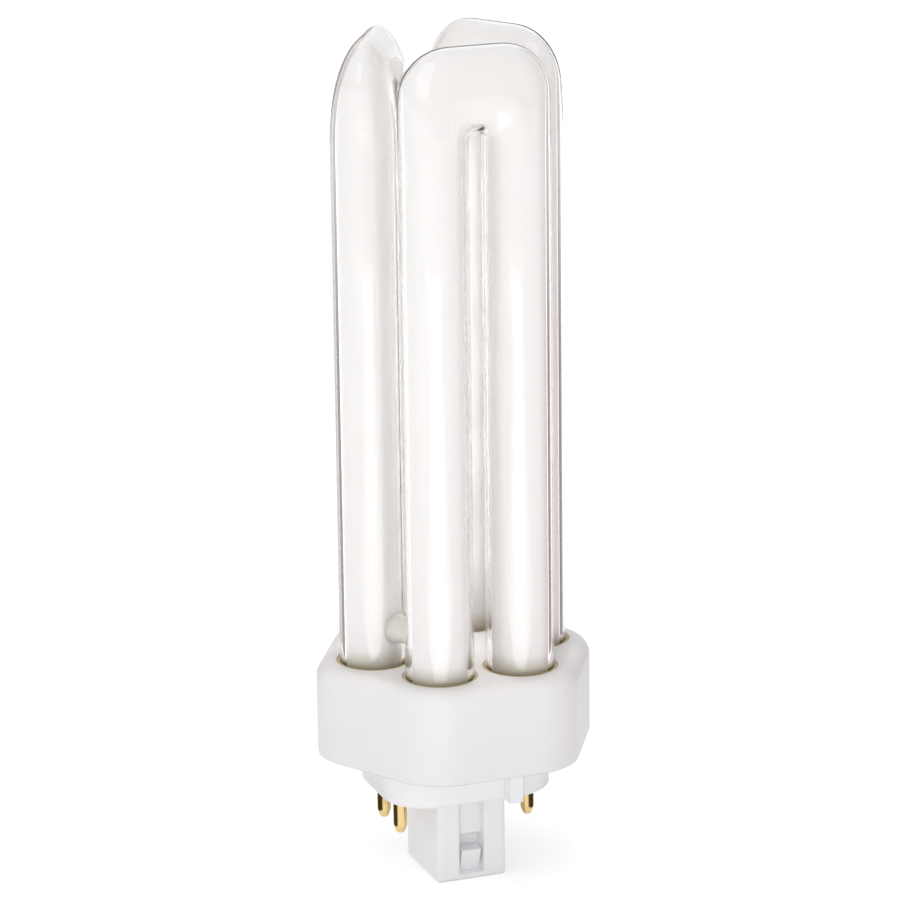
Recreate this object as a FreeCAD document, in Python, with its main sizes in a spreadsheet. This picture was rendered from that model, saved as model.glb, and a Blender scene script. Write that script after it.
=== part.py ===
import FreeCAD, Part
import math
import os

import Sketcher

# Triple tube plug-in fluorescent lamp, in millimetres.
# Origin: centre of the seating face that meets the lamp holder. +Z runs up the glass, -Y is the front.

SIZES = {
    # Glass: three U tubes, six limbs on one circle
    "tube_diameter": 11.5,
    "glass_height": 105.1,
    "bend_depth": 14.0,
    "bend_corner_radius": 8.0,
    "press_height": 17.0,
    "press_margin": 0.05,
    "ridge_thickness": 3.4,
    "bridge_diameter": 5.2,
    "bridge_rise": 6.4,
    "pinch_width": 9.0,
    "pinch_thickness": 3.2,
    "pinch_length": 3.0,
    # Collar that holds the glass
    "collar_land": 3.5,
    "collar_corner_radius": 10.0,
    "collar_height": 16.0,
    "collar_wall": 1.8,
    "collar_top_round": 2.8,
    "tube_hole_clearance": 0.5,
    "hole_web": 1.75,
    # Cement that bonds the limbs into the collar
    "cement_thickness": 3.0,
    "cement_clearance": 0.1,
    "bond_gap": 0.02,
    # Base cap: shoulder, flange and post
    "shoulder_margin": 3.3,
    "shoulder_depth": 24.8,
    "shoulder_height": 7.5,
    "shoulder_corner_radius": 8.0,
    "shoulder_wall": 1.5,
    "shoulder_chamfer": 0.4,
    "floor_thickness": 2.0,
    "flange_recess": 0.5,
    "flange_thickness": 1.6,
    "flange_clearance": 0.1,
    "key_width": 2.5,
    "key_offset": 4.2,
    "key_height": 2.2,
    "post_width": 12.4,
    "post_depth": 14.9,
    "post_length": 15.5,
    "post_edge_round": 0.6,
    "post_end_chamfer": 0.4,
    "post_side_wall": 1.8,
    "post_latch_wall": 4.0,
    "post_end_wall": 1.6,
    # Latch channel on the front and back of the post
    "channel_width": 4.4,
    "channel_depth": 1.4,
    "notch_depth": 2.8,
    "notch_height": 2.4,
    "ramp_height": 4.2,
    "ramp_lip": 1.15,
    "ramp_clearance": 0.45,
    # Contact pins
    "pin_diameter": 2.35,
    "pin_length": 6.5,
    "pin_spacing_wide": 23.0,
    "pin_spacing_narrow": 8.0,
    "pin_nose_length": 1.0,
    "pin_tip_diameter": 1.1,
    "pin_shank_diameter": 1.8,
    # Lead wires from the electrodes to the pins
    "wire_diameter": 0.6,
    "wire_spacing": 4.0,
    "wire_clearance": 1.2,
    "lead_room": 3.4,
}

LIMB_COUNT = 6
LIMB_STEP = 360 / LIMB_COUNT
U_COUNT = 3
BRIDGE_ANGLES = (-60, 60)
ELECTRODE_ANGLES = (150, -150)
PIN_SIGNS = ((1, 1), (1, -1), (-1, 1), (-1, -1))
WIRE_SIDES = 8
TOUCH = 1e-4
SQUARE_CORNERS = 1

doc = FreeCAD.newDocument("TripleTubeLamp")
sheet = doc.addObject("Spreadsheet::Sheet", "Sizes")
for row, (alias, value) in enumerate(SIZES.items(), start=1):
    sheet.set(f"A{row}", alias)
    sheet.set(f"B{row}", str(value))
    sheet.setAlias(f"B{row}", alias)
doc.recompute()

sub_parts = []


# Expressions that several sub-parts share

def cell(text):
    """Write each size in an expression as a cell of the sheet."""
    words = []
    word = ""
    for letter in text + " ":
        if letter.isalnum() or letter == "_":
            word += letter
            continue
        words.append(f"Sizes.{word}" if word in SIZES else word)
        words.append(letter)
        word = ""
    return "".join(words).strip()


def number(text):
    """Value of an expression at the sizes now in the sheet."""
    return float(sheet.evalExpression(cell(text)))


TUBE_RADIUS = "tube_diameter / 2"
LIMB_CIRCLE = "(tube_diameter + 2 * tube_hole_clearance + hole_web)"
U_PLANE = f"(-{LIMB_CIRCLE} * cos(30))"
COLLAR_TOP = "(shoulder_height + collar_height)"
GLASS_TOP = f"({COLLAR_TOP} + glass_height)"
HEAD_SPRING = f"({GLASS_TOP} - bend_depth + {TUBE_RADIUS})"
HOLE_RADIUS = f"({TUBE_RADIUS} + tube_hole_clearance)"
COLLAR_APOTHEM = f"({LIMB_CIRCLE} * cos(30) + {HOLE_RADIUS} + collar_land)"
COLLAR_INNER_APOTHEM = f"({COLLAR_APOTHEM} - collar_wall)"
COLLAR_INNER_CORNER = "(collar_corner_radius - collar_wall)"
SHOULDER_WIDTH = "(pin_spacing_wide + 2 * shoulder_margin)"
FLANGE_BOTTOM = "(shoulder_height + flange_recess)"
FLANGE_TOP = "(shoulder_height + flange_recess + flange_thickness)"
CEMENT_TOP = f"({COLLAR_TOP} - collar_wall)"
PINCH_BOTTOM = f"({FLANGE_TOP} + lead_room)"
LIMB_END = f"({PINCH_BOTTOM} + pinch_length)"


def bind(thing, **sizes):
    """Tie properties of an object to cells; a double underscore stands for a dot."""
    for name, text in sizes.items():
        thing.setExpression(name.replace("__", "."), cell(text))


def keep(thing, label):
    thing.Label = label
    sub_parts.append(thing)


def limb_place(angle):
    """Plan position of the limb at an angle from the front, as two expressions."""
    sine = math.sin(math.radians(angle))
    cosine = math.cos(math.radians(angle))
    return f"{LIMB_CIRCLE} * {sine:.9f}", f"-{LIMB_CIRCLE} * {cosine:.9f}"


# Sketches and body features

def origin_feature(body, role):
    for feature in body.Origin.OriginFeatures:
        if feature.Role == role:
            return feature
    raise ValueError(role)


def new_sketch(body, name, role):
    sketch = body.newObject("Sketcher::SketchObject", name)
    sketch.AttachmentSupport = [(origin_feature(body, role), "")]
    sketch.MapMode = "FlatFace"
    return sketch


def hold_distance(sketch, kind, geometry, point, text):
    rule = Sketcher.Constraint(kind, -1, 1, geometry, point, number(text))
    index = sketch.addConstraint(rule)
    sketch.setExpression(f"Constraints[{index}]", cell(text))


def hold_point(sketch, geometry, point, place):
    """Fix one point of a sketch at a place given by two expressions."""
    for kind, axis, text in zip(("DistanceX", "DistanceY"), (-2, -1), place):
        if text == "0":
            sketch.addConstraint(Sketcher.Constraint("PointOnObject", geometry, point, axis))
            continue
        hold_distance(sketch, kind, geometry, point, text)


def profile_sketch(body, name, role, corners):
    """Closed outline. A corner is a place; with an arc running on from it, also the arc's middle and
    centre."""
    sketch = new_sketch(body, name, role)
    points = [FreeCAD.Vector(number(corner[0]), number(corner[1]), 0) for corner in corners]
    count = len(corners)
    ends = []
    for index, corner in enumerate(corners):
        start, stop = points[index], points[(index + 1) % count]
        if len(corner) == 2:
            sketch.addGeometry(Part.LineSegment(start, stop))
            ends.append((1, 2))
            continue
        middle = FreeCAD.Vector(number(corner[2]), number(corner[3]), 0)
        left_turn = (middle - start).cross(stop - middle).z > 0
        first, last = (start, stop) if left_turn else (stop, start)
        sketch.addGeometry(Part.Arc(first, middle, last))
        ends.append((1, 2) if left_turn else (2, 1))
    for index in range(count):
        after = (index + 1) % count
        sketch.addConstraint(
            Sketcher.Constraint("Coincident", index, ends[index][1], after, ends[after][0]))
    for index, corner in enumerate(corners):
        hold_point(sketch, index, ends[index][0], corner[:2])
        if len(corner) > 2:
            chord = points[(index + 1) % count] - points[index]
            upright = abs(chord.y) > abs(chord.x)
            hold_distance(sketch, "DistanceX" if upright else "DistanceY", index, 3, corner[4 if upright else 5])
    return sketch


def rounded_rectangle(half_width, half_depth, radius):
    """Corners of a rounded rectangle round the origin, for a profile sketch."""
    diagonal = f"({radius}) * {math.sqrt(0.5):.9f}"
    corners = []
    for x, y, turn in ((1, -1, 0), (1, 1, 1), (-1, 1, 0), (-1, -1, 1)):
        inner_x = f"{x} * (({half_width}) - ({radius}))"
        inner_y = f"{y} * (({half_depth}) - ({radius}))"
        side = (f"{x} * ({half_width})", inner_y)
        end = (inner_x, f"{y} * ({half_depth})")
        middle = (f"{inner_x} + {x} * {diagonal}", f"{inner_y} + {y} * {diagonal}")
        first, last = (side, end) if turn else (end, side)
        corners.append((*first, *middle, inner_x, inner_y))
        corners.append(last)
    return corners


def circle_sketch(body, name, places, radius):
    sketch = new_sketch(body, name, "XY_Plane")
    for index, (x, y) in enumerate(places):
        centre = FreeCAD.Vector(number(x), number(y), 0)
        sketch.addGeometry(Part.Circle(centre, FreeCAD.Vector(0, 0, 1), number(radius)))
        hold_point(sketch, index, 3, (x, y))
        rule = sketch.addConstraint(Sketcher.Constraint("Radius", index, number(radius)))
        sketch.setExpression(f"Constraints[{rule}]", cell(radius))
    return sketch


def add_box(body, kind, name, length, width, height, corner):
    box = body.newObject(f"PartDesign::{kind}Box", name)
    bind(box, Length=length, Width=width, Height=height)
    bind(box, Placement__Base__x=corner[0], Placement__Base__y=corner[1], Placement__Base__z=corner[2])
    doc.recompute()
    return box


def add_hexagon(body, kind, name, apothem, height, bottom):
    prism = body.newObject(f"PartDesign::{kind}Prism", name)
    prism.Polygon = LIMB_COUNT
    bind(prism, Circumradius=f"({apothem}) / cos(30)", Height=height, Placement__Base__z=bottom)
    doc.recompute()
    return prism


def edge_names(feature, wanted):
    return [f"Edge{i}" for i, edge in enumerate(feature.Shape.Edges, start=1) if wanted(edge)]


def add_edge(body, kind, name, base, size, wanted):
    """Fillet or chamfer the edges of a feature that a test picks out."""
    edge = body.newObject(f"PartDesign::{kind}", name)
    edge.Base = (base, edge_names(base, wanted))
    bind(edge, **{"Radius" if kind == "Fillet" else "Size": size})
    doc.recompute()
    return edge


def lies_at(edge, height):
    return all(abs(vertex.Z - height) < TOUCH for vertex in edge.Vertexes)


def spans(edge, low, high):
    heights = [vertex.Z for vertex in edge.Vertexes]
    return abs(min(heights) - low) < TOUCH and abs(max(heights) - high) < TOUCH


def cut_through(body, name, sketch, base):
    """Cut a sketch upwards through the solid and make sure that it removed something."""
    pocket = body.newObject("PartDesign::Pocket", name)
    pocket.Profile = sketch
    pocket.Type = "ThroughAll"
    pocket.Reversed = True
    doc.recompute()
    if pocket.Shape.Volume >= base.Shape.Volume:
        raise RuntimeError(f"{name} cuts nothing")
    return pocket


def cut_across(body, name, sketch, length):
    """Cut a sketch to both sides of its plane and make sure that it removed something."""
    base = body.Tip
    pocket = body.newObject("PartDesign::Pocket", name)
    pocket.Profile = sketch
    pocket.Midplane = True
    bind(pocket, Length=length)
    doc.recompute()
    if pocket.Shape.Volume >= base.Shape.Volume:
        raise RuntimeError(f"{name} cuts nothing")
    return pocket


def cut_limb_holes(body, name, base, radius):
    """One hole at the limb on +X, repeated round the axis."""
    sketch = circle_sketch(body, f"{name}_sketch", [(LIMB_CIRCLE, "0")], radius)
    pocket = cut_through(body, f"{name}_first", sketch, base)
    pattern = body.newObject("PartDesign::PolarPattern", name)
    pattern.Originals = [pocket]
    pattern.Axis = (sketch, ["N_Axis"])
    pattern.Angle = 360
    pattern.Occurrences = LIMB_COUNT
    body.Tip = pattern
    doc.recompute()
    return pattern


# Glass: two limbs joined by a saddle under a pressed head, the U repeated round the axis

def build_vessel():
    body = doc.addObject("PartDesign::Body", "vessel_body")
    build_head(body)
    build_limbs(body)
    build_saddle(body)
    round_corners(body)
    press_head(body)
    pattern = body.newObject("PartDesign::PolarPattern", "u_tubes")
    pattern.TransformMode = "Whole shape"
    pattern.Axis = (origin_feature(body, "Z_Axis"), [""])
    pattern.Angle = 360
    pattern.Occurrences = U_COUNT
    body.Tip = pattern
    doc.recompute()
    for index, angle in enumerate(BRIDGE_ANGLES, start=1):
        build_bridge(body, f"glass_bridge_{index}", angle)
    for index, angle in enumerate(ELECTRODE_ANGLES, start=1):
        build_pinch(body, f"pinch_seal_{index}", angle)
    keep(body, "discharge_vessel")


def add_pad(body, name, sketch, length, midplane=False):
    pad = body.newObject("PartDesign::Pad", name)
    pad.Profile = sketch
    pad.Midplane = midplane
    bind(pad, Length=length)
    doc.recompute()
    return pad


def build_head(body):
    """Block above the bend, as long as the two limbs and as thick as a tube."""
    half = f"{LIMB_CIRCLE} / 2"
    near = f"{U_PLANE} - {TUBE_RADIUS}"
    far = f"{U_PLANE} + {TUBE_RADIUS}"
    corners = [(f"-{half}", near),
               (half, near, f"{half} + {TUBE_RADIUS}", U_PLANE, half, U_PLANE),
               (half, far),
               (f"-{half}", far, f"-{half} - {TUBE_RADIUS}", U_PLANE, f"-{half}", U_PLANE)]
    sketch = profile_sketch(body, "head_plan", "XY_Plane", corners)
    bind(sketch, AttachmentOffset__Base__z=HEAD_SPRING)
    add_pad(body, "head_block", sketch, f"{GLASS_TOP} - {HEAD_SPRING}")


def build_limbs(body):
    places = [(f"{side} * {LIMB_CIRCLE} / 2", U_PLANE) for side in (-1, 1)]
    sketch = circle_sketch(body, "limb_plan", places, TUBE_RADIUS)
    bind(sketch, AttachmentOffset__Base__z=LIMB_END)
    add_pad(body, "limbs", sketch, f"{HEAD_SPRING} - {LIMB_END}")


def build_saddle(body):
    """Round underside of the bend, from one limb's axis to the other."""
    radius = f"({TUBE_RADIUS} - press_margin)"
    lowest = f"{HEAD_SPRING} - {radius}"
    corners = [(f"{U_PLANE} - {radius}", HEAD_SPRING, U_PLANE, lowest, U_PLANE, HEAD_SPRING),
               (f"{U_PLANE} + {radius}", HEAD_SPRING)]
    sketch = profile_sketch(body, "saddle_section", "YZ_Plane", corners)
    add_pad(body, "saddle", sketch, LIMB_CIRCLE, midplane=True)


def round_corners(body):
    """Outer shoulders of the U, rounded as seen from the front."""
    half = f"(({LIMB_CIRCLE} + tube_diameter) / 2)"
    inner = f"({half} - bend_corner_radius)"
    shoulder = f"({GLASS_TOP} - bend_corner_radius)"
    diagonal = f"bend_corner_radius * {math.sqrt(0.5):.9f}"
    for index, side in enumerate((-1, 1), start=1):
        outside = f"{side} * ({half} + tube_diameter)"
        above = f"{GLASS_TOP} + tube_diameter"
        centre = (f"{side} * {inner}", shoulder)
        middle = (f"{side} * ({inner} + {diagonal})", f"{shoulder} + {diagonal}")
        corners = [(f"{side} * {inner}", GLASS_TOP, *middle, *centre),
                   (f"{side} * {half}", shoulder),
                   (outside, shoulder),
                   (outside, above),
                   (f"{side} * {inner}", above)]
        sketch = profile_sketch(body, f"shoulder_cut_{index}", "XZ_Plane", corners)
        bind(sketch, AttachmentOffset__Base__z=f"-{U_PLANE}")
        cut_across(body, f"rounded_shoulder_{index}", sketch, "2 * tube_diameter")


def press_head(body):
    """Two shallow arcs take the front and the back of the head in to a thin ridge."""
    drop = f"({TUBE_RADIUS} + press_margin - ridge_thickness / 2)"
    radius = f"((press_height ^ 2 + {drop} ^ 2) / (2 * {drop}))"
    start = f"({GLASS_TOP} - press_height)"
    chord = f"sqrt({radius} ^ 2 - (press_height / 2) ^ 2)"
    for index, side in enumerate((-1, 1), start=1):
        skin = f"{U_PLANE} + {side} * ({TUBE_RADIUS} + press_margin)"
        centre = (f"{skin} - {side} * {radius}", start)
        middle = (f"{centre[0]} + {side} * {chord}", f"{start} + press_height / 2")
        outside = f"{U_PLANE} + {side} * tube_diameter"
        corners = [(skin, start, *middle, *centre),
                   (f"{U_PLANE} + {side} * ridge_thickness / 2", GLASS_TOP),
                   (outside, GLASS_TOP),
                   (outside, start)]
        sketch = profile_sketch(body, f"press_profile_{index}", "YZ_Plane", corners)
        cut_across(body, f"pressed_side_{index}", sketch, f"4 * {LIMB_CIRCLE}")


def build_bridge(body, name, angle):
    """Short glass tube that joins two neighbouring U tubes just above the collar."""
    turn = math.radians(angle)
    along = FreeCAD.Vector(math.cos(turn), math.sin(turn), 0)
    x, y = limb_place(angle - LIMB_STEP / 2)
    bridge = body.newObject("PartDesign::AdditiveCylinder", name)
    bridge.Placement = FreeCAD.Placement(
        FreeCAD.Vector(), FreeCAD.Rotation(FreeCAD.Vector(0, 0, 1), along))
    bind(bridge, Radius="bridge_diameter / 2", Height=LIMB_CIRCLE,
         Placement__Base__x=x, Placement__Base__y=y,
         Placement__Base__z=f"{COLLAR_TOP} + bridge_rise")
    doc.recompute()


def build_pinch(body, name, angle):
    """Flat pressed seal under an electrode limb, where its two wires come out."""
    x, y = limb_place(angle)
    add_box(body, "Additive", name, "pinch_width", "pinch_thickness", "2 * pinch_length",
            (f"{x} - pinch_width / 2", f"{y} - pinch_thickness / 2", PINCH_BOTTOM))


# Collar: a hexagonal cap with rounded corners, open below, six holes in its top

def build_collar():
    body = doc.addObject("PartDesign::Body", "collar_body")
    top = number("collar_height")
    block = add_hexagon(body, "Additive", "collar_block", COLLAR_APOTHEM, "collar_height", "0")
    corners = add_edge(body, "Fillet", "collar_corners", block, "collar_corner_radius",
                       lambda edge: spans(edge, 0, top))
    add_edge(body, "Fillet", "collar_top_edge", corners, "collar_top_round",
             lambda edge: lies_at(edge, top))
    hollow_collar(body)
    cut_limb_holes(body, "tube_holes", body.Tip, HOLE_RADIUS)
    bind(body, Placement__Base__z="shoulder_height")
    keep(body, "tube_collar")


def hollow_collar(body):
    ceiling = number("collar_height - collar_wall")
    cavity = add_hexagon(body, "Subtractive", "collar_cavity", COLLAR_INNER_APOTHEM,
                         "collar_height - collar_wall", "0")
    add_edge(body, "Fillet", "collar_inner_corners", cavity, COLLAR_INNER_CORNER,
             lambda edge: spans(edge, 0, ceiling))


# Cement: a slab under the top of the collar, bonded round every limb

def build_cement():
    body = doc.addObject("PartDesign::Body", "cement_body")
    top = number("cement_thickness")
    slab = add_hexagon(body, "Additive", "cement_slab", f"{COLLAR_INNER_APOTHEM} - cement_clearance",
                       "cement_thickness", "0")
    corners = add_edge(body, "Fillet", "cement_corners", slab, COLLAR_INNER_CORNER,
                       lambda edge: spans(edge, 0, top))
    cut_limb_holes(body, "cement_holes", corners, f"{TUBE_RADIUS} + bond_gap")
    bind(body, Placement__Base__z=f"{CEMENT_TOP} - cement_thickness")
    keep(body, "base_cement")


# Base cap: hollow shoulder with a flange that closes the collar, and the keyed post

def build_base():
    body = doc.addObject("PartDesign::Body", "base_body")
    build_shoulder(body)
    build_flange(body)
    build_keys(body)
    build_post(body)
    build_cavity(body)
    build_latches(body)
    build_pin_holes(body)
    keep(body, "base_cap")


def build_shoulder(body):
    outline = rounded_rectangle(f"{SHOULDER_WIDTH} / 2", "shoulder_depth / 2", "shoulder_corner_radius")
    sketch = profile_sketch(body, "shoulder_outline", "XY_Plane", outline)
    pad = add_pad(body, "shoulder_pad", sketch, FLANGE_TOP)
    add_edge(body, "Chamfer", "shoulder_edge", pad, "shoulder_chamfer", lambda edge: lies_at(edge, 0))


def build_flange(body):
    bottom = number(FLANGE_BOTTOM)
    top = number(FLANGE_TOP)
    plate = add_hexagon(body, "Additive", "flange_plate", f"{COLLAR_INNER_APOTHEM} - flange_clearance",
                        "flange_thickness", FLANGE_BOTTOM)
    add_edge(body, "Fillet", "flange_corners", plate, COLLAR_INNER_CORNER,
             lambda edge: spans(edge, bottom, top))


def build_keys(body):
    """Two ribs, half a turn apart, that let the cap enter only a matching holder."""
    for index, side in enumerate((1, -1), start=1):
        x = "key_offset" if side > 0 else "-key_offset - key_width"
        y = "-shoulder_depth / 2 - key_height" if side > 0 else "shoulder_depth / 2 - shoulder_wall"
        add_box(body, "Additive", f"key_rib_{index}", "key_width", "key_height + shoulder_wall",
                FLANGE_BOTTOM, (x, y, "0"))


def build_post(body):
    post = add_box(body, "Additive", "post_block", "post_width", "post_depth",
                   "post_length + floor_thickness",
                   ("-post_width / 2", "-post_depth / 2", "-post_length"))
    bottom = number("-post_length")
    rounded = add_edge(body, "Fillet", "post_edges", post, "post_edge_round",
                       lambda edge: spans(edge, bottom, 0))
    add_edge(body, "Chamfer", "post_end", rounded, "post_end_chamfer",
             lambda edge: lies_at(edge, bottom))


def build_cavity(body):
    outline = rounded_rectangle(f"{SHOULDER_WIDTH} / 2 - shoulder_wall", "shoulder_depth / 2 - shoulder_wall",
                                "shoulder_corner_radius - shoulder_wall")
    base = body.Tip
    sketch = profile_sketch(body, "cavity_outline", "XY_Plane", outline)
    bind(sketch, AttachmentOffset__Base__z="floor_thickness")
    cut_through(body, "shoulder_cavity", sketch, base)
    add_box(body, "Subtractive", "post_core",
            "post_width - 2 * post_side_wall", "post_depth - 2 * post_latch_wall",
            "post_length + floor_thickness - post_end_wall",
            ("-post_width / 2 + post_side_wall", "-post_depth / 2 + post_latch_wall",
             "-post_length + post_end_wall"))


def build_latches(body):
    """Channel, catch notch and ramp that a holder's spring rides over and drops into."""
    face = "-post_depth / 2"
    floor = f"{face} + channel_depth"
    back = f"{face} + notch_depth"
    lip = "-post_length + ramp_lip"
    ledge = f"{lip} + ramp_height"
    roof = f"{ledge} + notch_height"
    channel = [(face, "0"), (face, lip), (floor, lip), (floor, ledge),
               (back, ledge), (back, roof), (floor, roof), (floor, "0")]
    sketch = profile_sketch(body, "latch_channel_sketch", "YZ_Plane", channel)
    cut = cut_across(body, "latch_channel", sketch, "channel_width")
    sketch = profile_sketch(body, "latch_ramp_sketch", "YZ_Plane", [(floor, lip), (floor, ledge), (face, ledge)])
    wedge = add_pad(body, "latch_ramp", sketch, "channel_width - 2 * ramp_clearance", midplane=True)
    mirror = body.newObject("PartDesign::Mirrored", "latches_behind")
    mirror.Originals = [cut, wedge]
    mirror.MirrorPlane = (origin_feature(body, "XZ_Plane"), [""])
    body.Tip = mirror
    doc.recompute()


def build_pin_holes(body):
    places = [pin_place(signs) for signs in PIN_SIGNS]
    base = body.Tip
    sketch = circle_sketch(body, "pin_holes_sketch", places, "pin_shank_diameter / 2")
    cut_through(body, "pin_holes", sketch, base)


def pin_place(signs):
    wide, narrow = signs
    return f"{wide} * pin_spacing_wide / 2", f"{narrow} * pin_spacing_narrow / 2"


# Contact pins: turned brass with a blunt nose, shouldered under the cap, the shank set in its floor

def build_pin(label, signs):
    body = doc.addObject("PartDesign::Body", f"{label}_body")
    radius = "pin_diameter / 2"
    shank = "pin_shank_diameter / 2"
    places = [("0", "-pin_length"),
              ("pin_tip_diameter / 2", "-pin_length"),
              (radius, "pin_nose_length - pin_length"),
              (radius, "0"),
              (shank, "0"),
              (shank, "floor_thickness"),
              ("0", "floor_thickness")]
    sketch = profile_sketch(body, f"{label}_profile", "XZ_Plane", places)
    turned = body.newObject("PartDesign::Revolution", f"{label}_turned")
    turned.Profile = sketch
    turned.ReferenceAxis = (sketch, ["V_Axis"])
    turned.Angle = 360
    doc.recompute()
    x, y = pin_place(signs)
    bind(body, Placement__Base__x=x, Placement__Base__y=y)
    keep(body, label)


# Lead wires: down from a pinch seal, across above the flange, and down to the shank of a pin

def wire_section(centre):
    """Level eight-sided section, enough for so thin a wire."""
    reach = FreeCAD.Vector(number("wire_diameter / 2"), 0, 0)
    upright = FreeCAD.Vector(0, 0, 1)
    turns = [360 * side / WIRE_SIDES for side in range(WIRE_SIDES + 1)]
    return Part.makePolygon([centre + FreeCAD.Rotation(upright, turn).multVec(reach) for turn in turns])


def build_wire(label, seal, signs):
    x, y = (number(text) for text in seal)
    pin_x, pin_y = (number(text) for text in pin_place(signs))
    run = number(f"{FLANGE_TOP} + wire_clearance")
    points = [FreeCAD.Vector(x, y, number(PINCH_BOTTOM)),
              FreeCAD.Vector(x, y, run),
              FreeCAD.Vector(pin_x, pin_y, run),
              FreeCAD.Vector(pin_x, pin_y, number("floor_thickness"))]
    path = Part.makePolygon(points)
    wire = doc.addObject("Part::Feature", label)
    wire.Shape = path.makePipeShell([wire_section(points[0])], True, False, SQUARE_CORNERS)
    keep(wire, label)


def build_wires():
    """The outer wire of each electrode goes to the back pin, the inner one to the front pin."""
    index = 0
    for angle, wide in zip(ELECTRODE_ANGLES, (1, -1)):
        x, y = limb_place(angle)
        for narrow in (1, -1):
            index += 1
            build_wire(f"lead_wire_{index}", (f"{x} + {wide * narrow} * wire_spacing / 2", y), (wide, narrow))


build_vessel()
build_collar()
build_cement()
build_base()
for number_of_pin, pin_signs in enumerate(PIN_SIGNS, start=1):
    build_pin(f"contact_pin_{number_of_pin}", pin_signs)
build_wires()
doc.recompute()

for thing in doc.Objects:
    if "Invalid" in thing.State or "Error" in thing.State:
        raise RuntimeError(f"{thing.Name} failed: {thing.State}")
for thing in sub_parts:
    if thing.Shape.isNull() or not thing.Shape.isValid() or len(thing.Shape.Solids) != 1:
        raise RuntimeError(f"{thing.Label} is not one valid solid")

os.makedirs("parts", exist_ok=True)
for thing in sub_parts:
    thing.Shape.exportStep(f"parts/{thing.Label}.step")
    print(thing.Label, round(thing.Shape.Volume, 1), thing.Shape.BoundBox)
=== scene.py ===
import math

import bpy
from mathutils import Matrix, Vector


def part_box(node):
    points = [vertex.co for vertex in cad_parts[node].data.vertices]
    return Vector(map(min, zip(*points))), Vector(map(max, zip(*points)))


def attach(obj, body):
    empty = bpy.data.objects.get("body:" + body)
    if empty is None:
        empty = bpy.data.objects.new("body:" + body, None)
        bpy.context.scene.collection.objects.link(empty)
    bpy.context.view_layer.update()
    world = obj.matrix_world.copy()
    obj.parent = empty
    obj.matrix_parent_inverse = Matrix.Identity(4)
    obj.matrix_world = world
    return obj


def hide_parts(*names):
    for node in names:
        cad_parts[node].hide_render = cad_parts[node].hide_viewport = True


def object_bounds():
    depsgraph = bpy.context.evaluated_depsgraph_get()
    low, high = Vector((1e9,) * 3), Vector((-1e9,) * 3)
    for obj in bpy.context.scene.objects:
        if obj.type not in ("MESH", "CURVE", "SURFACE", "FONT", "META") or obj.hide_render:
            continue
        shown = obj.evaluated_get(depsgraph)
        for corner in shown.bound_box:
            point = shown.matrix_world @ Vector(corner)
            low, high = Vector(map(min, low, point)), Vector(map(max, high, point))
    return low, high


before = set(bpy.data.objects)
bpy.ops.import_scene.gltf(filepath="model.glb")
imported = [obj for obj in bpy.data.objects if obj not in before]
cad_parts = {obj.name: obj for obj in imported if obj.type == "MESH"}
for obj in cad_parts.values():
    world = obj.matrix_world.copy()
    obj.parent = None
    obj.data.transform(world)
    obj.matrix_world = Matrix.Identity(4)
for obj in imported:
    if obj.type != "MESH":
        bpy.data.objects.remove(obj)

# Triple tube plug-in fluorescent lamp, in metres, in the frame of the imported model.

CAD_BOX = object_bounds()
GLASS_LOW, GLASS_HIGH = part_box("discharge_vessel")
COLLAR_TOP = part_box("tube_collar")[1].z
NEAR = 1e-6

# Glass tubes
TUBE_RADIUS = 0.00575
LIMB_CIRCLE = 0.01425
U_HALF_ANGLE = math.radians(30)
LIMB_HALF_SPACING = LIMB_CIRCLE * math.sin(U_HALF_ANGLE)
U_PLANE = -LIMB_CIRCLE * math.cos(U_HALF_ANGLE)
GLASS_TOP = GLASS_HIGH.z
SEAL_LENGTH = 0.003
LIMB_END = GLASS_LOW.z + SEAL_LENGTH
CROTCH_RADIUS = LIMB_HALF_SPACING - TUBE_RADIUS
BEND_DEPTH = 0.014
BEND_CENTRE = Vector((0, U_PLANE, GLASS_TOP - BEND_DEPTH - CROTCH_RADIUS))
CORNER_RADIUS = 0.008
PRESS_HEIGHT = 0.017
PRESS_SHARE = 0.42
PRESS_POWER = 1.6
WALL = 0.00105
RIDGE_WALL_SHARE = 0.5
COAT_GAP = 0.00005
TUBE_SEGMENTS = 48
BEND_STEPS = 28
LIMB_LOOPS = (0.0200, 0.0050, 0.0020)
U_TURNS = (0, 120, -120)
GLASS_SMOOTH_ANGLE = math.radians(60)
# The coat's foot turns olive near the collar: partly its thinner end, partly painted shade and a painted
# reflection of the cement.
FOOT_SHADE_HEIGHTS = (COLLAR_TOP - 0.0006, COLLAR_TOP + 0.0036)
FOOT_THIN_COAT_AND_SHADE = (0.50, 0.46, 0.34)

# Glass bridges just above the collar
BRIDGE_TURNS = (-60, 60)
BRIDGE_RADIUS = 0.0021
BRIDGE_FLARE = 1.2
BRIDGE_HALF_LENGTH = 0.0026
BRIDGE_RISE = 0.0064
BRIDGE_SEGMENTS = 24

# Cement that rises round each limb in its hole
BEAD_CIRCLE = 0.0060
BEAD_THICKNESS = 0.00055
BEAD_DEPTH = 0.00025
BEAD_LUMPS = 0.00008
BEAD_SEGMENTS = (48, 10)
LIMB_TURNS = (0, 60, 120, 180, 240, 300)

# Contact pins
PIN_NOSE = 0.0011
PIN_TIP = 0.0003
PIN_TAPER = 0.68
PIN_EDGE = 0.0002
PIN_EDGE_STEPS = 4
PIN_EDGE_ANGLE = math.radians(15)
PIN_SMOOTH_ANGLE = math.radians(40)
PIN_SEGMENTS = 32

# Finishes
GRAIN_FINENESS = 14.0
RELIEF_DEPTH = 0.0001
EDGE_SAMPLES = 6
DRAW_LINES = (500, 500, 12)
DRAW_RELIEF = 0.002
GLASS_PASSES = (0.955, 0.95, 0.95)
COAT_SCATTER = (1.0, 0.97, 0.92)
COAT_SCATTER_DEPTH = 0.006

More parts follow.
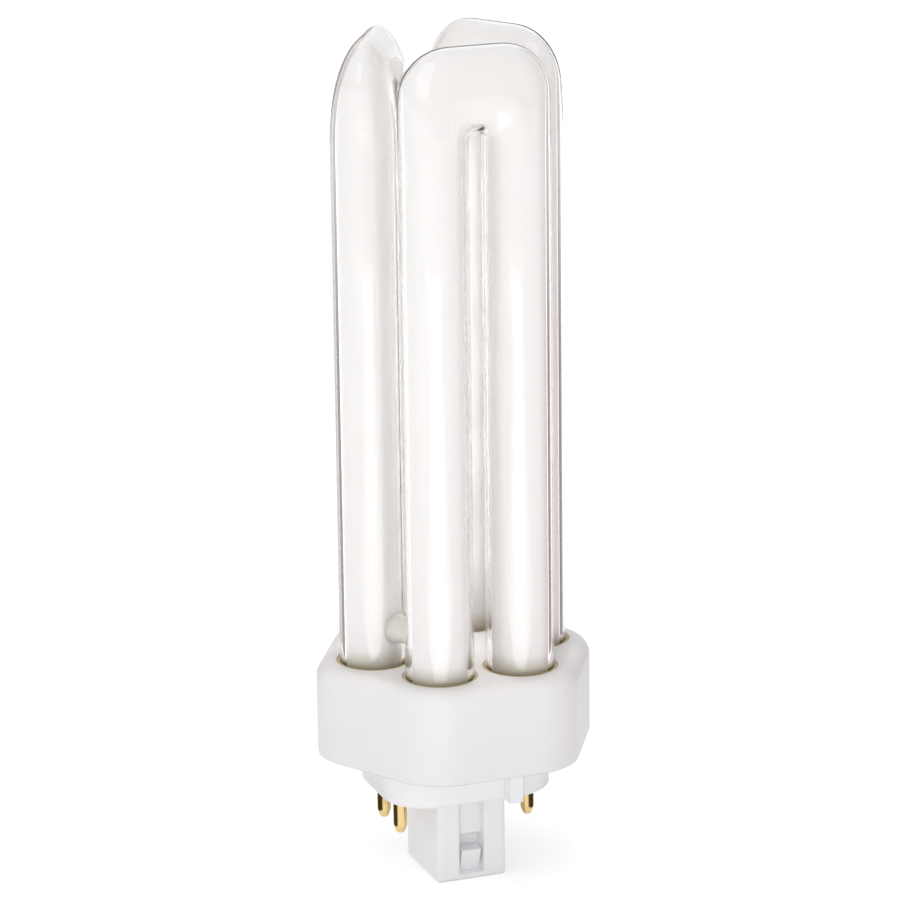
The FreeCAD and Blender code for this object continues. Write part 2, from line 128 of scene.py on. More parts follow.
# Viewpoint
VIEW_AZIMUTH = -20.62
VIEW_ELEVATION = 16.14
VIEW_DISTANCE = 0.700
VIEW_ROLL = -0.72
VIEW_AIM_SIDE = -0.0002
VIEW_AIM_HEIGHT = 0.05822
SENSOR_WIDTH = 36.0
IMAGE_WIDTH = 900
FOCAL_PIXELS = 4210.0

# Studio
SURROUND_LIGHT = (0.81, 0.50)
DIM_SIDE = 100
FLOOR_SIZE = 6.0
FLOOR_FADE = (0.02, 0.35)
FLOOR_GLOW = (0.34, 0.60)

# Lamps: each place is a turn from the line of sight, a distance and a height
KEY_PLACE = (-15, 0.60, 0.62)
KEY_SIZE = (0.5, 0.7)
KEY_POWER = 0.96
TOP_HEIGHT = 0.70
TOP_SIZE = (0.6, 0.6)
TOP_POWER = 0.93
FILL_PLACE = (75, 0.70, 0.25)
FILL_SIZE = (0.5, 0.7)
FILL_POWER = 0.22
FILL_COLOUR = (1, 0.88, 0.92)
LOW_TURN = 2
LOW_DISTANCE = 0.27
LOW_STEP = 0.001
LOW_WIDTHS = (0.10, 0.17, 0.24)
LOW_LENGTH = 0.30
LOW_POWER = 0.56
BASE_PLACE = (-5, 0.45, 0.0)
BASE_SIZE = (0.35, 0.06)
BASE_POWER = 0.26
INNER_HEIGHTS = (0.037, 0.054, 0.070, 0.085, 0.100, 0.116)
INNER_RADIUS = 0.003
INNER_POWER = 0.0030
INNER_COLOUR = (1, 0.975, 0.945)

# Cards that draw the edges of glass and brass
CARD_HEIGHTS = (-0.015, 0.225)
CARD_FADE = (0.040, 0.105)
CARD_DISTANCE = 0.124
EDGE_CARD_TURN = 47
EDGE_CARD_WIDTH = 0.044
RIM_CARD_TURN = 22
RIM_CARD_WIDTH = 0.058
BLUSH_CARD_TURN = -80
BLUSH_CARD_DISTANCE = 0.11
BLUSH_CARD_WIDTH = 0.065
PIN_CARD_HEIGHTS = (-0.015, -0.0025)
PIN_CARD_TURN = 100
PIN_CARD_DISTANCE = 0.024
PIN_CARD_WIDTH = 0.034
DARK_CARD = (0.20, 0.185, 0.18)
MIDDLE_CARD = (0.62, 0.59, 0.58)
PALE_CARD = (0.84, 0.77, 0.76)
PINK_CARD = (0.80, 0.48, 0.54)
BROWN_CARD = (0.05, 0.03, 0.012)


# Modelling helpers

def start_afresh():
    if bpy.context.object and bpy.context.object.mode != "OBJECT":
        bpy.ops.object.mode_set(mode="OBJECT")
    bpy.ops.object.select_all(action="DESELECT")


def pick(piece):
    start_afresh()
    piece.select_set(True)
    bpy.context.view_layer.objects.active = piece


def named(name):
    piece = bpy.context.object
    piece.name = name
    piece.data.name = name
    return piece


def select_points(piece, wanted):
    """Select, in edit mode, the points of a piece that a test picks out."""
    pick(piece)
    bpy.ops.object.mode_set(mode="EDIT")
    bpy.ops.mesh.select_mode(type="VERT")
    bpy.ops.mesh.select_all(action="DESELECT")
    bpy.ops.object.mode_set(mode="OBJECT")
    for point in piece.data.vertices:
        point.select = wanted(point.co)
    bpy.ops.object.mode_set(mode="EDIT")


def raise_ring(height):
    bpy.ops.mesh.extrude_region_move(TRANSFORM_OT_translate={"value": (0, 0, height)})


def apply_place(piece):
    pick(piece)
    bpy.ops.object.transform_apply(location=True, rotation=True, scale=True)


def apply_modifier(piece, kind, **settings):
    pick(piece)
    modifier = piece.modifiers.new(kind.lower(), kind)
    for name, value in settings.items():
        setattr(modifier, name, value)
    bpy.ops.object.modifier_apply(modifier=modifier.name)


def copy_piece(piece, name):
    pick(piece)
    bpy.ops.object.duplicate(linked=False)
    return named(name)


def join_pieces(pieces, name):
    start_afresh()
    for piece in pieces:
        piece.select_set(True)
    bpy.context.view_layer.objects.active = pieces[0]
    bpy.ops.object.join()
    return named(name)


def face_out(piece):
    pick(piece)
    bpy.ops.object.mode_set(mode="EDIT")
    bpy.ops.mesh.select_all(action="SELECT")
    bpy.ops.mesh.remove_doubles(threshold=NEAR)
    bpy.ops.mesh.normals_make_consistent(inside=False)
    bpy.ops.object.mode_set(mode="OBJECT")


def close_ends(piece):
    """Fill the open ends of a piece and face it outwards."""
    pick(piece)
    bpy.ops.object.mode_set(mode="EDIT")
    bpy.ops.mesh.select_mode(type="EDGE")
    bpy.ops.mesh.select_all(action="DESELECT")
    bpy.ops.mesh.select_non_manifold()
    bpy.ops.mesh.fill_holes(sides=0)
    face_out(piece)


# Glass: one U is spun and pressed, then copied round the axis

def spin_u_tube():
    """A ring raised up one limb, spun over the bend and drawn down the other limb."""
    start_afresh()
    bpy.ops.mesh.primitive_circle_add(vertices=TUBE_SEGMENTS, radius=TUBE_RADIUS, fill_type="NOTHING",
                                      location=(-LIMB_HALF_SPACING, U_PLANE, LIMB_END))
    piece = named("glass_u")
    apply_place(piece)
    bpy.ops.object.mode_set(mode="EDIT")
    bpy.ops.mesh.select_all(action="SELECT")
    heights = [BEND_CENTRE.z - loop for loop in LIMB_LOOPS] + [BEND_CENTRE.z]
    low = LIMB_END
    for height in heights:
        raise_ring(height - low)
        low = height
    bpy.ops.mesh.spin(steps=BEND_STEPS, angle=-math.pi, center=BEND_CENTRE, axis=(0, 1, 0))
    bpy.ops.object.mode_set(mode="OBJECT")
    if max(point.co.z for point in piece.data.vertices) < BEND_CENTRE.z + TUBE_RADIUS:
        raise RuntimeError("the bend was spun downwards")
    select_points(piece, lambda place: place.x > 0 and abs(place.z - BEND_CENTRE.z) < NEAR)
    for height in heights[-2::-1] + [LIMB_END]:
        raise_ring(height - low)
        low = height
    bpy.ops.object.mode_set(mode="OBJECT")
    return piece


def outline_reach(angle):
    """Distance from the bend's centre to the square shouldered outline, at an angle above level."""
    half_width = LIMB_HALF_SPACING + TUBE_RADIUS
    top = GLASS_TOP - BEND_CENTRE.z
    across = abs(math.cos(angle))
    up = math.sin(angle)
    corner = Vector((half_width - CORNER_RADIUS, top - CORNER_RADIUS))
    along = corner.x * across + corner.y * up
    aside = corner.x * up - corner.y * across
    if abs(aside) < CORNER_RADIUS:
        reach = along + math.sqrt(CORNER_RADIUS ** 2 - aside ** 2)
        if reach * across > corner.x and reach * up > corner.y:
            return reach
    if half_width * up <= corner.y * across:
        return half_width / across
    return top / up


def square_the_bend(piece):
    """Draw the round bend out to its square shoulders, keeping the crotch."""
    round_reach = LIMB_HALF_SPACING + TUBE_RADIUS
    for point in piece.data.vertices:
        offset = point.co - BEND_CENTRE
        if offset.z <= NEAR:
            continue
        distance = math.hypot(offset.x, offset.z)
        angle = math.atan2(offset.z, abs(offset.x))
        stretch = (outline_reach(angle) - CROTCH_RADIUS) / (round_reach - CROTCH_RADIUS)
        drawn = CROTCH_RADIUS + (distance - CROTCH_RADIUS) * stretch
        point.co.x = BEND_CENTRE.x + offset.x * drawn / distance
        point.co.z = BEND_CENTRE.z + offset.z * drawn / distance


def press_the_head(piece):
    """Thin the head towards its ridge, as the hot glass was pressed."""
    for point in piece.data.vertices:
        depth = GLASS_TOP - point.co.z
        if depth < PRESS_HEIGHT:
            share = (PRESS_HEIGHT - depth) / PRESS_HEIGHT
            thinned = 1 - PRESS_SHARE * share ** PRESS_POWER
            point.co.y = U_PLANE + (point.co.y - U_PLANE) * thinned


def weigh_the_wall(piece):
    """Mark how thick the wall is: full in the limbs, thinner in the pressed head."""
    group = piece.vertex_groups.new(name="wall")
    for point in piece.data.vertices:
        share = max(0.0, 1 - (GLASS_TOP - point.co.z) / PRESS_HEIGHT)
        group.add([point.index], 1 - (1 - RIDGE_WALL_SHARE) * share, "REPLACE")


def make_bridge(turn):
    """Short flared tube between two neighbouring limbs."""
    start_afresh()
    along = Matrix.Rotation(math.radians(turn), 4, "Z")
    bpy.ops.mesh.primitive_cylinder_add(vertices=BRIDGE_SEGMENTS, radius=BRIDGE_RADIUS,
                                        depth=2 * BRIDGE_HALF_LENGTH, end_fill_type="NOTHING",
                                        rotation=(0, math.pi / 2, 0))
    piece = named("glass_bridge")
    apply_place(piece)
    bpy.ops.object.mode_set(mode="EDIT")
    bpy.ops.mesh.select_all(action="SELECT")
    bpy.ops.mesh.subdivide(number_cuts=1)
    bpy.ops.object.mode_set(mode="OBJECT")
    for side in (-1, 1):
        select_points(piece, lambda place: abs(place.x - side * BRIDGE_HALF_LENGTH) < NEAR)
        bpy.ops.transform.resize(value=(1, BRIDGE_FLARE, BRIDGE_FLARE),
                                 center_override=(side * BRIDGE_HALF_LENGTH, 0, 0))
        bpy.ops.object.mode_set(mode="OBJECT")
    apply_modifier(piece, "SUBSURF", levels=2, render_levels=2)
    piece.location = along @ Vector((0, U_PLANE, COLLAR_TOP + BRIDGE_RISE))
    piece.rotation_euler = (0, 0, math.radians(turn))
    apply_place(piece)
    return piece


def make_glass():
    """The clear vessel with its wall, and the white coat just inside it."""
    tube = spin_u_tube()
    square_the_bend(tube)
    press_the_head(tube)
    apply_modifier(tube, "SUBSURF", levels=1, render_levels=1)
    face_out(tube)
    weigh_the_wall(tube)
    tubes = [tube]
    for turn in U_TURNS[1:]:
        turned = copy_piece(tube, "glass_u")
        turned.rotation_euler = (0, 0, math.radians(turn))
        apply_place(turned)
        tubes.append(turned)
    vessel = join_pieces(tubes, "glass_vessel")
    coat = copy_piece(vessel, "phosphor_coat")
    apply_modifier(coat, "DISPLACE", strength=-(WALL + COAT_GAP), mid_level=0.0, vertex_group="wall")
    close_ends(coat)
    apply_modifier(vessel, "SOLIDIFY", thickness=WALL, offset=-1.0, use_even_offset=True,
                   vertex_group="wall")
    bridges = join_pieces([make_bridge(turn) for turn in BRIDGE_TURNS], "glass_bridges")
    close_ends(bridges)
    for piece in (vessel, coat, bridges):
        pick(piece)
        bpy.ops.object.shade_smooth_by_angle(angle=GLASS_SMOOTH_ANGLE)
        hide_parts("discharge_vessel")
        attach(piece, "root")
    return vessel, coat, bridges


# Cement: an uneven bead that fills each hole of the collar up to the glass

def make_beads():
    beads = []
    for index, turn in enumerate(LIMB_TURNS):
        turned = Matrix.Rotation(math.radians(turn), 4, "Z")
        place = turned @ Vector((LIMB_CIRCLE, 0, COLLAR_TOP - BEAD_DEPTH))
        start_afresh()
        bpy.ops.mesh.primitive_torus_add(major_segments=BEAD_SEGMENTS[0], minor_segments=BEAD_SEGMENTS[1],
                                         major_radius=BEAD_CIRCLE, minor_radius=BEAD_THICKNESS / 2,
                                         location=place)
        bead = named("cement_bead")
        apply_place(bead)
        bpy.ops.object.mode_set(mode="EDIT")
        bpy.ops.mesh.select_all(action="SELECT")
        bpy.ops.transform.vertex_random(offset=BEAD_LUMPS, seed=index + 1)
        bpy.ops.object.mode_set(mode="OBJECT")
        apply_modifier(bead, "SUBSURF", levels=1, render_levels=1)
        beads.append(bead)
    piece = join_pieces(beads, "cement_beads")
    face_out(piece)
    bpy.ops.object.shade_smooth()
    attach(piece, "root")
    return piece


# Contact pins: turned rods with a domed nose

def make_pin(node):
    low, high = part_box(node)
    centre = (low + high) / 2
    start_afresh()
    bpy.ops.mesh.primitive_cylinder_add(vertices=PIN_SEGMENTS, radius=(high.x - low.x) / 2,
                                        depth=high.z - low.z, location=centre)
    piece = named(node.replace("contact_pin", "brass_pin"))
    apply_place(piece)
    select_points(piece, lambda place: place.z < low.z + NEAR)
    bpy.ops.transform.translate(value=(0, 0, PIN_NOSE + PIN_TIP))
    for drop in (PIN_NOSE, PIN_TIP):
        raise_ring(-drop)
        bpy.ops.transform.resize(value=(PIN_TAPER, PIN_TAPER, 1),
                                 center_override=(centre.x, centre.y, low.z))
    bpy.ops.object.mode_set(mode="OBJECT")
    apply_modifier(piece, "BEVEL", width=PIN_EDGE, segments=PIN_EDGE_STEPS, limit_method="ANGLE",
                   angle_limit=PIN_EDGE_ANGLE)
    bpy.ops.object.shade_smooth_by_angle(angle=PIN_SMOOTH_ANGLE)
    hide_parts(node)
    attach(piece, "root")
    return piece


# Finishes

def new_finish(name):
    finish = bpy.data.materials.new(name)
    finish.use_nodes = True
    return finish, finish.node_tree.nodes, finish.node_tree.links


def surface_grain():
    """Shared effect: a fine mottle for colour and gloss, and a height for bump."""
    group = bpy.data.node_groups.new("surface_grain", "ShaderNodeTree")
    face = group.interface
    face.new_socket("Scale", in_out="INPUT", socket_type="NodeSocketFloat")
    face.new_socket("Dark", in_out="INPUT", socket_type="NodeSocketColor")
    face.new_socket("Light", in_out="INPUT", socket_type="NodeSocketColor")
    face.new_socket("Gloss Low", in_out="INPUT", socket_type="NodeSocketFloat")
    face.new_socket("Gloss High", in_out="INPUT", socket_type="NodeSocketFloat")
    face.new_socket("Colour", in_out="OUTPUT", socket_type="NodeSocketColor")
    face.new_socket("Roughness", in_out="OUTPUT", socket_type="NodeSocketFloat")
    face.new_socket("Height", in_out="OUTPUT", socket_type="NodeSocketFloat")
    nodes, links = group.nodes, group.links
    inside = nodes.new("NodeGroupInput")
    outside = nodes.new("NodeGroupOutput")
    place = nodes.new("ShaderNodeTexCoord")
    broad = nodes.new("ShaderNodeTexNoise")
    broad.inputs["Detail"].default_value = 3.0
    fine = nodes.new("ShaderNodeTexNoise")
    fine.inputs["Detail"].default_value = 6.0
    finer = nodes.new("ShaderNodeMath")
    finer.operation = "MULTIPLY"
    finer.inputs[1].default_value = GRAIN_FINENESS
    links.new(place.outputs["Object"], broad.inputs["Vector"])
    links.new(place.outputs["Object"], fine.inputs["Vector"])
    links.new(inside.outputs["Scale"], broad.inputs["Scale"])
    links.new(inside.outputs["Scale"], finer.inputs[0])
    links.new(finer.outputs[0], fine.inputs["Scale"])
    tint = nodes.new("ShaderNodeMix")
    tint.data_type = "RGBA"
    links.new(broad.outputs["Fac"], tint.inputs["Factor"])
    links.new(inside.outputs["Dark"], tint.inputs["A"])
    links.new(inside.outputs["Light"], tint.inputs["B"])
    gloss = nodes.new("ShaderNodeMapRange")
    links.new(fine.outputs["Fac"], gloss.inputs["Value"])
    links.new(inside.outputs["Gloss Low"], gloss.inputs["To Min"])
    links.new(inside.outputs["Gloss High"], gloss.inputs["To Max"])
    links.new(tint.outputs["Result"], outside.inputs["Colour"])
    links.new(gloss.outputs["Result"], outside.inputs["Roughness"])
    links.new(fine.outputs["Fac"], outside.inputs["Height"])
    return group


def grained_finish(name, grain, scale, dark, light, gloss, bump, edge_radius=0.0, metallic=0.0):
    """Opaque finish with the shared grain; a moulded edge is softened by its radius."""
    finish, nodes, links = new_finish(name)
    shader = nodes["Principled BSDF"]
    shader.inputs["Metallic"].default_value = metallic
    texture = nodes.new("ShaderNodeGroup")
    texture.node_tree = grain
    texture.inputs["Scale"].default_value = scale
    texture.inputs["Dark"].default_value = (*dark, 1)
    texture.inputs["Light"].default_value = (*light, 1)
    texture.inputs["Gloss Low"].default_value = gloss[0]
    texture.inputs["Gloss High"].default_value = gloss[1]
    relief = nodes.new("ShaderNodeBump")
    relief.inputs["Strength"].default_value = bump
    relief.inputs["Distance"].default_value = RELIEF_DEPTH
    links.new(texture.outputs["Colour"], shader.inputs["Base Color"])
    links.new(texture.outputs["Roughness"], shader.inputs["Roughness"])
    links.new(texture.outputs["Height"], relief.inputs["Height"])
    links.new(relief.outputs["Normal"], shader.inputs["Normal"])
    if edge_radius:
        edge = nodes.new("ShaderNodeBevel")
        edge.samples = EDGE_SAMPLES
        edge.inputs["Radius"].default_value = edge_radius
        links.new(edge.outputs["Normal"], relief.inputs["Normal"])
    return finish


def fade_with_height(nodes, links, heights, foot):
    """Mix node that goes from the foot colour to its second colour between two heights."""
    place = nodes.new("ShaderNodeTexCoord")
    axes = nodes.new("ShaderNodeSeparateXYZ")
    fade = nodes.new("ShaderNodeMapRange")
    fade.interpolation_type = "SMOOTHSTEP"
    fade.inputs["From Min"].default_value = heights[0]
    fade.inputs["From Max"].default_value = heights[1]
    tone = nodes.new("ShaderNodeMix")
    tone.data_type = "RGBA"
    tone.inputs["A"].default_value = (*foot, 1)
    links.new(place.outputs["Object"], axes.inputs["Vector"])
    links.new(axes.outputs["Z"], fade.inputs["Value"])
    links.new(fade.outputs["Result"], tone.inputs["Factor"])
    return tone


def thin_coat_and_foot_shade(finish):
    """Let light sink into the coat, and darken its foot to olive: partly the coat's thinner end, partly
    painted shade and a painted reflection of the cement.
    """
    nodes, links = finish.node_tree.nodes, finish.node_tree.links
    shader = nodes["Principled BSDF"]
    shader.inputs["Subsurface Weight"].default_value = 1.0
    shader.inputs["Subsurface Radius"].default_value = COAT_SCATTER
    shader.inputs["Subsurface Scale"].default_value = COAT_SCATTER_DEPTH
    colour = shader.inputs["Base Color"].links[0].from_socket
    # Painted shade at the coat's foot, with the coat's thinner end and a painted reflection of the
    # cement.
    tone = fade_with_height(nodes, links, FOOT_SHADE_HEIGHTS, FOOT_THIN_COAT_AND_SHADE)
    links.new(colour, tone.inputs["B"])
    links.new(tone.outputs["Result"], shader.inputs["Base Color"])


def clear_glass():
    """Clear drawn glass with faint draw lines; light passes through it to the coat."""
    finish, nodes, links = new_finish("clear_tube_glass")
    shader = nodes["Principled BSDF"]
    shader.inputs["Base Color"].default_value = (0.98, 0.985, 0.98, 1)
    shader.inputs["Roughness"].default_value = 0.015
    shader.inputs["IOR"].default_value = 1.5
    shader.inputs["Transmission Weight"].default_value = 1.0
    place = nodes.new("ShaderNodeTexCoord")
    drawn = nodes.new("ShaderNodeMapping")
    drawn.inputs["Scale"].default_value = DRAW_LINES
    lines = nodes.new("ShaderNodeTexNoise")
    lines.inputs["Scale"].default_value = 1.0
    relief = nodes.new("ShaderNodeBump")
    relief.inputs["Strength"].default_value = DRAW_RELIEF
    relief.inputs["Distance"].default_value = RELIEF_DEPTH
    links.new(place.outputs["Object"], drawn.inputs["Vector"])
    links.new(drawn.outputs["Vector"], lines.inputs["Vector"])
    links.new(lines.outputs["Fac"], relief.inputs["Height"])
    links.new(relief.outputs["Normal"], shader.inputs["Normal"])
    path = nodes.new("ShaderNodeLightPath")
    lighting = nodes.new("ShaderNodeMath")
    lighting.operation = "MAXIMUM"
    links.new(path.outputs["Is Shadow Ray"], lighting.inputs[0])
    links.new(path.outputs["Is Diffuse Ray"], lighting.inputs[1])
    clear = nodes.new("ShaderNodeBsdfTransparent")
    clear.inputs["Color"].default_value = (*GLASS_PASSES, 1)
    blend = nodes.new("ShaderNodeMixShader")
    links.new(lighting.outputs[0], blend.inputs["Fac"])
    links.new(shader.outputs["BSDF"], blend.inputs[1])
    links.new(clear.outputs["BSDF"], blend.inputs[2])
    links.new(blend.outputs["Shader"], nodes["Material Output"].inputs["Surface"])
    return finish


def dress(piece, finish):
    piece.data.materials.clear()
    piece.data.materials.append(finish)


def dress_node(node, finish):
    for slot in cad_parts[node].material_slots:
        slot.material = finish


# Studio: white surround, pale floor, soft lamps, cards and camera

def white_surround():
    world = bpy.data.worlds.new("white_surround")
    bpy.context.scene.world = world
    world.use_nodes = True
    nodes, links = world.node_tree.nodes, world.node_tree.links
    ground = nodes["Background"]
    ground.inputs["Color"].default_value = (1, 1, 1, 1)
    place = nodes.new("ShaderNodeTexCoord")
    aside = nodes.new("ShaderNodeVectorMath")
    aside.operation = "DOT_PRODUCT"
    aside.inputs[1].default_value = around_view(DIM_SIDE, 1, 0)
    fall = nodes.new("ShaderNodeMapRange")
    fall.inputs["From Min"].default_value = -1.0
    fall.inputs["To Min"].default_value = SURROUND_LIGHT[0]
    fall.inputs["To Max"].default_value = SURROUND_LIGHT[1]
    links.new(place.outputs["Generated"], aside.inputs[0])
    links.new(aside.outputs["Value"], fall.inputs["Value"])
    strength = seen_directly(nodes, links)
    links.new(fall.outputs["Result"], strength.inputs["To Min"])
    links.new(strength.outputs["Result"], ground.inputs["Strength"])


def seen_directly(nodes, links):
    """1 where the camera, a reflection or a refraction looks, and 0 unless set otherwise for lighting."""
    path = nodes.new("ShaderNodeLightPath")
    straight = nodes.new("ShaderNodeMath")
    straight.operation = "MAXIMUM"
    links.new(path.outputs["Is Camera Ray"], straight.inputs[0])
    links.new(path.outputs["Is Glossy Ray"], straight.inputs[1])
    through = nodes.new("ShaderNodeMath")
    through.operation = "MAXIMUM"
    links.new(straight.outputs[0], through.inputs[0])
    links.new(path.outputs["Is Transmission Ray"], through.inputs[1])
    strength = nodes.new("ShaderNodeMapRange")
    links.new(through.outputs[0], strength.inputs["Value"])
    return strength


def make_floor():
    start_afresh()
    bpy.ops.mesh.primitive_plane_add(size=FLOOR_SIZE, location=(0, 0, CAD_BOX[0].z))
    floor = named("floor")
    apply_place(floor)
    dress(floor, floor_finish())


def floor_finish():
    """Pale floor that takes the shadow near the lamp and runs out to plain white."""
    finish, nodes, links = new_finish("pale_floor")
    shader = nodes["Principled BSDF"]
    shader.inputs["Base Color"].default_value = (0.93, 0.93, 0.93, 1)
    shader.inputs["Roughness"].default_value = 0.9
    shader.inputs["Specular IOR Level"].default_value = 0.0
    shader.inputs["Emission Color"].default_value = (1, 1, 1, 1)
    place = nodes.new("ShaderNodeTexCoord")
    reach = nodes.new("ShaderNodeVectorMath")
    reach.operation = "LENGTH"
    spread = nodes.new("ShaderNodeMapRange")
    spread.interpolation_type = "SMOOTHSTEP"
    spread.inputs["From Min"].default_value = FLOOR_FADE[0]
    spread.inputs["From Max"].default_value = FLOOR_FADE[1]
    spread.inputs["To Min"].default_value = FLOOR_GLOW[0]
    spread.inputs["To Max"].default_value = FLOOR_GLOW[1]
    shown = nodes.new("ShaderNodeMath")
    shown.operation = "MULTIPLY"
    links.new(place.outputs["Object"], reach.inputs[0])
    links.new(reach.outputs["Value"], spread.inputs["Value"])
    links.new(spread.outputs["Result"], shown.inputs[0])
    links.new(seen_directly(nodes, links).outputs["Result"], shown.inputs[1])
    links.new(shown.outputs[0], shader.inputs["Emission Strength"])
    return finish


def around_view(turn, distance, height):
    """Place at a bearing from the camera's side of the lamp."""
    bearing = math.radians(VIEW_AZIMUTH + turn)
    return Vector((distance * math.sin(bearing), -distance * math.cos(bearing), height))


def add_lamp(name, place, size, power, colour=(1, 1, 1), flat=False, mirrored=True):
    lamp = bpy.data.lights.new(name, "AREA")
    lamp.shape = "RECTANGLE"
    lamp.size, lamp.size_y = size
    lamp.energy = power
    lamp.color = colour
    holder = bpy.data.objects.new(name, lamp)
    bpy.context.scene.collection.objects.link(holder)
    holder.location = place
    aim = Vector((0, 0, VIEW_AIM_HEIGHT)) - Vector(place)
    holder.rotation_euler = aim.to_track_quat("-Z", "Y").to_euler()
    if flat:
        holder.rotation_euler = (math.pi, 0, math.atan2(place[1], place[0]) + math.pi / 2)
    holder.visible_camera = False
    holder.visible_glossy = mirrored
    holder.visible_transmission = mirrored


def light_inside():
    """Light that the milky tubes pass on into the middle of the ring."""
    for index, height in enumerate(INNER_HEIGHTS, start=1):
        lamp = bpy.data.lights.new(f"inner_{index}", "POINT")
        lamp.energy = INNER_POWER
        lamp.shadow_soft_size = INNER_RADIUS
        lamp.color = INNER_COLOUR
        holder = bpy.data.objects.new(lamp.name, lamp)
        bpy.context.scene.collection.objects.link(holder)
        holder.location = (0, 0, height)
        holder.visible_camera = False
        holder.visible_glossy = False
        holder.visible_transmission = False


def make_card(name, turn, distance, width, heights, foot, head):
    """Card that only reflections and refractions see, turned from the line of sight."""
    start_afresh()
    bearing = math.radians(VIEW_AZIMUTH + turn)
    low, high = heights
    bpy.ops.mesh.primitive_plane_add(size=1, rotation=(math.pi / 2, 0, bearing))
    card = named(name)
    card.scale = (width, high - low, 1)
    card.location = Matrix.Rotation(bearing, 4, "Z") @ Vector((0, distance, (low + high) / 2))
    apply_place(card)
    finish, nodes, links = new_finish(name)
    tone = fade_with_height(nodes, links, CARD_FADE, foot)
    tone.inputs["B"].default_value = (*head, 1)
    glow = nodes.new("ShaderNodeEmission")
    links.new(tone.outputs["Result"], glow.inputs["Color"])
    links.new(glow.outputs["Emission"], nodes["Material Output"].inputs["Surface"])
    dress(card, finish)
    card.visible_camera = False
    card.visible_diffuse = False
    card.visible_shadow = False


def make_camera():
    """Eye level a little above the lamp, to the left of its front."""
    azimuth = math.radians(VIEW_AZIMUTH)
    elevation = math.radians(VIEW_ELEVATION)
    back = Vector((math.sin(azimuth) * math.cos(elevation), -math.cos(azimuth) * math.cos(elevation),
                   math.sin(elevation)))
    right = Vector((math.cos(azimuth), math.sin(azimuth), 0))
    up = back.cross(right)
    roll = math.radians(VIEW_ROLL)
    tilted_right = right * math.cos(roll) + up * math.sin(roll)
    tilted_up = up * math.cos(roll) - right * math.sin(roll)
    eye = right * VIEW_AIM_SIDE + Vector((0, 0, VIEW_AIM_HEIGHT)) + back * VIEW_DISTANCE
    lens = bpy.data.cameras.new("camera")
    lens.sensor_width = SENSOR_WIDTH
    lens.lens = FOCAL_PIXELS / IMAGE_WIDTH * SENSOR_WIDTH
    camera = bpy.data.objects.new("camera", lens)
    bpy.context.scene.collection.objects.link(camera)
    turn = Matrix((tilted_right, tilted_up, back)).transposed().to_4x4()
    camera.matrix_world = Matrix.Translation(eye) @ turn
    bpy.context.scene.camera = camera


# The lamp is made, dressed and lit

vessel, coat, bridges = make_glass()
beads = make_beads()
pins = [make_pin(f"contact_pin_{index}") for index in range(1, 5)]

grain = surface_grain()
tube_glass = clear_glass()
white_coat = grained_finish("phosphor_powder_foot_shade", grain, scale=90, dark=(0.85, 0.83, 0.825),
                            light=(0.88, 0.865, 0.86), gloss=(0.85, 0.95), bump=0.1)
# The bridges are painted greyish beige, darker than the coat: painted shade for the gap between the limbs
# where they sit.
bridge_shade_finish = grained_finish("bridge_glass_painted_shade", grain, scale=250, dark=(0.54, 0.52, 0.46),
                             light=(0.76, 0.74, 0.69), gloss=(0.12, 0.2), bump=0.05)
collar_plastic = grained_finish("warm_white_plastic", grain, scale=60, dark=(0.79, 0.77, 0.765),
                                light=(0.82, 0.805, 0.80), gloss=(0.34, 0.46), bump=0.08,
                                edge_radius=0.0004)
base_plastic = grained_finish("cool_white_plastic", grain, scale=60, dark=(0.92, 0.915, 0.93),
                              light=(0.95, 0.945, 0.96), gloss=(0.30, 0.42), bump=0.08,
                              edge_radius=0.0003)
cement_finish = grained_finish("tan_cement", grain, scale=400, dark=(0.50, 0.40, 0.22),
                               light=(0.70, 0.59, 0.37), gloss=(0.8, 0.95), bump=0.6)
brass = grained_finish("drawn_brass", grain, scale=300, dark=(0.71, 0.52, 0.23),
                       light=(0.84, 0.66, 0.33), gloss=(0.20, 0.28), bump=0.05, metallic=1.0)
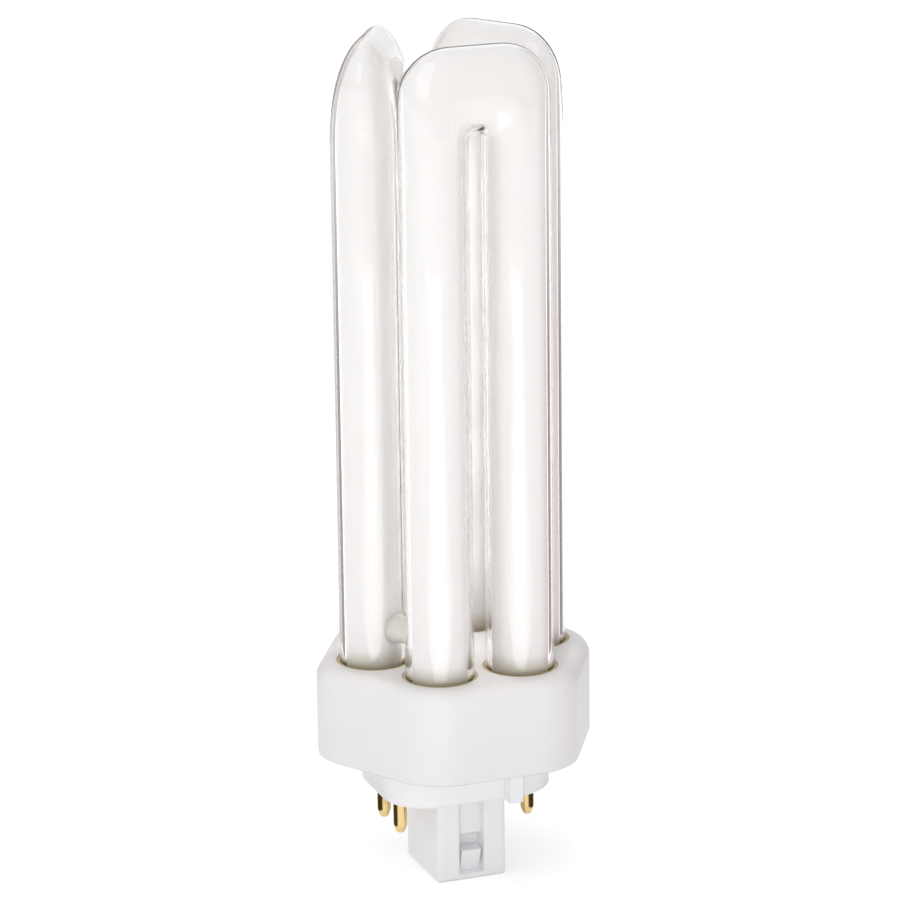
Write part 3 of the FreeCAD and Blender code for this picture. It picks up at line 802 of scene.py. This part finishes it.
lead_metal = grained_finish("nickel_lead", grain, scale=300, dark=(0.50, 0.49, 0.46),
                            light=(0.62, 0.61, 0.58), gloss=(0.25, 0.4), bump=0.05, metallic=1.0)
# The coat gets a painted shade at its foot, as well as its thinner end.
thin_coat_and_foot_shade(white_coat)

dress(vessel, tube_glass)
# The bridges wear painted shade.
dress(bridges, bridge_shade_finish)
dress(coat, white_coat)
dress(beads, cement_finish)
for pin in pins:
    dress(pin, brass)
dress_node("tube_collar", collar_plastic)
dress_node("base_cap", base_plastic)
dress_node("base_cement", cement_finish)
for index in range(1, 5):
    dress_node(f"lead_wire_{index}", lead_metal)

white_surround()
make_floor()
add_lamp("key", around_view(*KEY_PLACE), KEY_SIZE, KEY_POWER)
add_lamp("top", Vector((0, 0, TOP_HEIGHT)), TOP_SIZE, TOP_POWER, mirrored=False)
add_lamp("fill", around_view(*FILL_PLACE), FILL_SIZE, FILL_POWER, FILL_COLOUR)
for index, width in enumerate(LOW_WIDTHS, start=1):
    low_place = around_view(LOW_TURN, LOW_DISTANCE, CAD_BOX[0].z + LOW_STEP * index)
    add_lamp(f"low_front_{index}", low_place, (width, LOW_LENGTH), LOW_POWER * width, flat=True)
add_lamp("base_fill", around_view(*BASE_PLACE), BASE_SIZE, BASE_POWER, mirrored=False)
light_inside()
for side, name in ((1, "left"), (-1, "right")):
    make_card(f"card_edge_{name}", side * EDGE_CARD_TURN, CARD_DISTANCE, EDGE_CARD_WIDTH, CARD_HEIGHTS,
              DARK_CARD, MIDDLE_CARD)
    make_card(f"card_pins_{name}", side * PIN_CARD_TURN, PIN_CARD_DISTANCE, PIN_CARD_WIDTH,
              PIN_CARD_HEIGHTS, BROWN_CARD, BROWN_CARD)
make_card("card_rim_left", RIM_CARD_TURN, CARD_DISTANCE, RIM_CARD_WIDTH, CARD_HEIGHTS,
          PALE_CARD, PALE_CARD)
make_card("card_blush_right", BLUSH_CARD_TURN, BLUSH_CARD_DISTANCE, BLUSH_CARD_WIDTH, CARD_HEIGHTS,
          PINK_CARD, PALE_CARD)
make_camera()
bpy.context.scene.view_settings.view_transform = "Standard"
